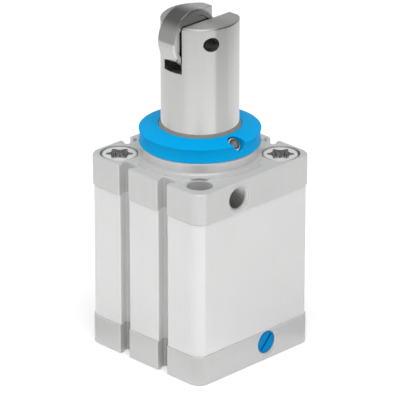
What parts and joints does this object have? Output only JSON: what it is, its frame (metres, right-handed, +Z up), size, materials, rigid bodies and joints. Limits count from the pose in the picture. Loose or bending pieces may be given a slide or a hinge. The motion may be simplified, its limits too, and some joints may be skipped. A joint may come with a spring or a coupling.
{
  "type": "stopper cylinder",
  "caption": "Pneumatic stopper cylinder with a square slotted barrel, a blue index ring and a steel roller in the fork of its spring-returned rod.",
  "frame": {"origin": "mouth of the centring recess in the middle of the underside", "axes": "+Z up along the rod, +X out of the face with the air ports, the roller leans to -Y"},
  "size_m": [0.0652, 0.0654, 0.1498],
  "materials": {
    "anodised_barrel": "satin anodised extrusion",
    "cap_aluminium": "machined and anodised, fine matt",
    "screw_steel": "zinc plated, bright",
    "blue_ring": "satin moulded",
    "blue_plug": "satin moulded",
    "bronze": "sintered bearing bronze",
    "seal_rubber": "black sealing rubber",
    "wiper_plastic": "grey-brown wiper plastic",
    "spring_steel": "oiled spring wire",
    "ground_steel": "hardened and ground",
    "rod_steel": "fine turned, hard chromed",
    "roller_steel": "ground rim, polished",
    "piston_aluminium": "turned",
    "magnet": "plastic bonded magnet"
  },
  "bodies": {
    "housing": {"barrel": "anodised_barrel", "bearing_cap": "cap_aluminium", "end_cap": "cap_aluminium", "top_collar_screws": "screw_steel", "bottom_collar_screws": "screw_steel", "index_ring": "blue_ring", "ring_clamp_screw": "screw_steel", "vent_plug": "blue_plug", "rod_bush": "bronze", "rod_seal": "seal_rubber", "rod_wiper": "wiper_plastic", "upper_o_ring": "seal_rubber", "lower_o_ring": "seal_rubber", "upper_bumper": "seal_rubber", "lower_bumper": "seal_rubber", "guide_pin": "ground_steel", "return_spring": "spring_steel"},
    "rod": {"piston_rod": "rod_steel", "upper_piston": "piston_aluminium", "lower_piston": "piston_aluminium", "piston_seal": "seal_rubber", "piston_guide_ring": "wiper_plastic", "piston_magnet": "magnet", "pin_bush": "bronze", "piston_washer": "screw_steel", "piston_screw": "screw_steel", "roller_axle": "ground_steel"},
    "roller": {"roller": "roller_steel", "roller_bush": "bronze"}
  },
  "joints": [
    {"name": "rod_stroke", "type": "slide", "parent": "housing", "child": "rod", "axis": [0, 0, -1], "range_m": [0, 0.025], "stiffness_N_per_m": 2000, "springref_m": -0.03, "deforming": ["return_spring"]},
    {"name": "roller_spin", "type": "hinge", "parent": "rod", "child": "roller", "pos_m": [0, -0.0073, 0.1376], "axis": [1, 0, 0], "continuous": true}
  ]
}
